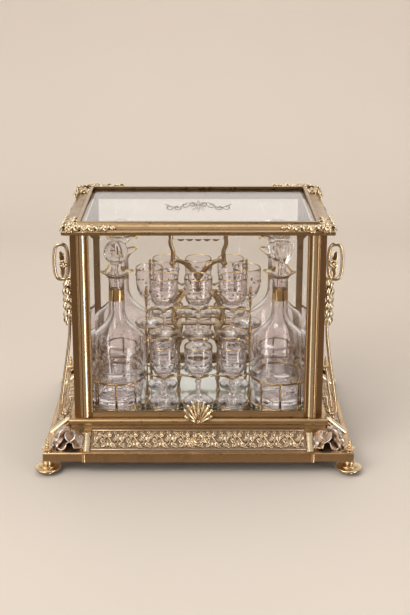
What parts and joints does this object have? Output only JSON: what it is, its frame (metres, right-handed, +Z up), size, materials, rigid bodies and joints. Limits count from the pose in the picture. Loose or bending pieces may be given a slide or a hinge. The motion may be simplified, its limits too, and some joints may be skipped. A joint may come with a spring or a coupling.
{
  "type": "tantalus",
  "caption": "Glazed gilt-metal liqueur case on a splayed footed plinth, with a hinged lid and front, and a lift-out handled rack of stoppered decanters and stemmed glasses.",
  "frame": {"origin": "on the bench, under the middle of the object's box", "axes": "+X to the object's right as its front is looked at, +Y towards its back, +Z up"},
  "size_m": [0.4376, 0.3216, 0.3365],
  "materials": {
    "bronze": "satin, worn gilding",
    "bronze_relief": "cast relief, toned gilding",
    "gilt": "burnished gilding",
    "silvered": "worn silvery gilding",
    "steel": "dull",
    "wood": "stained and waxed",
    "mirror": "old silvered glass",
    "plate_glass": "clear, bevelled edges",
    "thin_glass": "clear, gilt rim and dots",
    "decanter_glass": "clear, cut and engraved, gilt collar"
  },
  "bodies": {
    "case": {"plinth_band": "bronze", "plinth_body": "bronze", "plinth_torus": "bronze", "plinth_friezes": "bronze_relief", "frieze_pilasters": "gilt", "keyhole_escutcheon": "gilt", "corner_leaves": "silvered", "feet": "gilt", "foot_studs": "steel", "corner_finials": "gilt", "floor_board": "wood", "floor_mirror": "mirror", "lock_case": "steel", "case_posts": "gilt", "case_rails": "bronze", "right_glass": "plate_glass", "left_glass": "plate_glass", "back_glass": "plate_glass", "side_scrolls": "gilt", "hinge_leaves_case": "gilt", "hinge_pins": "steel"},
    "cover": {"lid_frame": "bronze", "lid_glass": "plate_glass", "lid_corner_mounts": "gilt", "front_stiles": "gilt", "front_rail": "bronze", "front_glass": "plate_glass", "palmette_pull": "gilt", "hinge_leaves_lid": "gilt"},
    "lock_bolt": {"lock_bolt": "steel"},
    "rack": {"rack_tray": "bronze", "rack_columns": "gilt", "rack_shelf": "bronze", "rack_galleries": "gilt", "decanter_cradles": "gilt", "rack_handle": "gilt"},
    "lower_glass_1": {"lower_glass_1": "thin_glass"},
    "lower_glass_2": {"lower_glass_2": "thin_glass"},
    "lower_glass_3": {"lower_glass_3": "thin_glass"},
    "lower_glass_4": {"lower_glass_4": "thin_glass"},
    "lower_glass_5": {"lower_glass_5": "thin_glass"},
    "lower_glass_6": {"lower_glass_6": "thin_glass"},
    "lower_glass_7": {"lower_glass_7": "thin_glass"},
    "lower_glass_8": {"lower_glass_8": "thin_glass"},
    "upper_glass_1": {"upper_glass_1": "thin_glass"},
    "upper_glass_2": {"upper_glass_2": "thin_glass"},
    "upper_glass_3": {"upper_glass_3": "thin_glass"},
    "upper_glass_4": {"upper_glass_4": "thin_glass"},
    "upper_glass_5": {"upper_glass_5": "thin_glass"},
    "upper_glass_6": {"upper_glass_6": "thin_glass"},
    "upper_glass_7": {"upper_glass_7": "thin_glass"},
    "upper_glass_8": {"upper_glass_8": "thin_glass"},
    "decanter_1": {"decanter_1": "decanter_glass"},
    "stopper_1": {"stopper_1": "decanter_glass"},
    "decanter_2": {"decanter_2": "decanter_glass"},
    "stopper_2": {"stopper_2": "decanter_glass"},
    "decanter_3": {"decanter_3": "decanter_glass"},
    "stopper_3": {"stopper_3": "decanter_glass"},
    "decanter_4": {"decanter_4": "decanter_glass"},
    "stopper_4": {"stopper_4": "decanter_glass"}
  },
  "joints": [
    {"name": "cover_hinge", "type": "hinge", "parent": "case", "child": "cover", "pos_m": [0, 0.123, 0.3215], "axis": [-1, 0, 0], "range_deg": [0, 115]},
    {"name": "lock_bolt_slide", "type": "slide", "parent": "case", "child": "lock_bolt", "axis": [0, 0, 1], "range_m": [0, 0.0034]},
    {"name": "rack_lift", "type": "slide", "parent": "case", "child": "rack", "axis": [0, 0, 1], "range_m": [0, 0.02]},
    {"name": "lower_glass_1_lift", "type": "slide", "parent": "rack", "child": "lower_glass_1", "axis": [0, 0, 1], "range_m": [0, 0.008]},
    {"name": "lower_glass_2_lift", "type": "slide", "parent": "rack", "child": "lower_glass_2", "axis": [0, 0, 1], "range_m": [0, 0.008]},
    {"name": "lower_glass_3_lift", "type": "slide", "parent": "rack", "child": "lower_glass_3", "axis": [0, 0, 1], "range_m": [0, 0.008]},
    {"name": "lower_glass_4_lift", "type": "slide", "parent": "rack", "child": "lower_glass_4", "axis": [0, 0, 1], "range_m": [0, 0.008]},
    {"name": "lower_glass_5_lift", "type": "slide", "parent": "rack", "child": "lower_glass_5", "axis": [0, 0, 1], "range_m": [0, 0.008]},
    {"name": "lower_glass_6_lift", "type": "slide", "parent": "rack", "child": "lower_glass_6", "axis": [0, 0, 1], "range_m": [0, 0.008]},
    {"name": "lower_glass_7_lift", "type": "slide", "parent": "rack", "child": "lower_glass_7", "axis": [0, 0, 1], "range_m": [0, 0.008]},
    {"name": "lower_glass_8_lift", "type": "slide", "parent": "rack", "child": "lower_glass_8", "axis": [0, 0, 1], "range_m": [0, 0.008]},
    {"name": "upper_glass_1_lift", "type": "slide", "parent": "rack", "child": "upper_glass_1", "axis": [0, 0, 1], "range_m": [0, 0.03]},
    {"name": "upper_glass_2_lift", "type": "slide", "parent": "rack", "child": "upper_glass_2", "axis": [0, 0, 1], "range_m": [0, 0.03]},
    {"name": "upper_glass_3_lift", "type": "slide", "parent": "rack", "child": "upper_glass_3", "axis": [0, 0, 1], "range_m": [0, 0.03]},
    {"name": "upper_glass_4_lift", "type": "slide", "parent": "rack", "child": "upper_glass_4", "axis": [0, 0, 1], "range_m": [0, 0.03]},
    {"name": "upper_glass_5_lift", "type": "slide", "parent": "rack", "child": "upper_glass_5", "axis": [0, 0, 1], "range_m": [0, 0.03]},
    {"name": "upper_glass_6_lift", "type": "slide", "parent": "rack", "child": "upper_glass_6", "axis": [0, 0, 1], "range_m": [0, 0.03]},
    {"name": "upper_glass_7_lift", "type": "slide", "parent": "rack", "child": "upper_glass_7", "axis": [0, 0, 1], "range_m": [0, 0.03]},
    {"name": "upper_glass_8_lift", "type": "slide", "parent": "rack", "child": "upper_glass_8", "axis": [0, 0, 1], "range_m": [0, 0.03]},
    {"name": "decanter_1_lift", "type": "slide", "parent": "rack", "child": "decanter_1", "axis": [0, 0, 1], "range_m": [0, 0.008]},
    {"name": "stopper_1_lift", "type": "slide", "parent": "decanter_1", "child": "stopper_1", "axis": [0, 0, 1], "range_m": [0, 0.02]},
    {"name": "decanter_2_lift", "type": "slide", "parent": "rack", "child": "decanter_2", "axis": [0, 0, 1], "range_m": [0, 0.008]},
    {"name": "stopper_2_lift", "type": "slide", "parent": "decanter_2", "child": "stopper_2", "axis": [0, 0, 1], "range_m": [0, 0.02]},
    {"name": "decanter_3_lift", "type": "slide", "parent": "rack", "child": "decanter_3", "axis": [0, 0, 1], "range_m": [0, 0.008]},
    {"name": "stopper_3_lift", "type": "slide", "parent": "decanter_3", "child": "stopper_3", "axis": [0, 0, 1], "range_m": [0, 0.02]},
    {"name": "decanter_4_lift", "type": "slide", "parent": "rack", "child": "decanter_4", "axis": [0, 0, 1], "range_m": [0, 0.008]},
    {"name": "stopper_4_lift", "type": "slide", "parent": "decanter_4", "child": "stopper_4", "axis": [0, 0, 1], "range_m": [0, 0.02]}
  ]
}
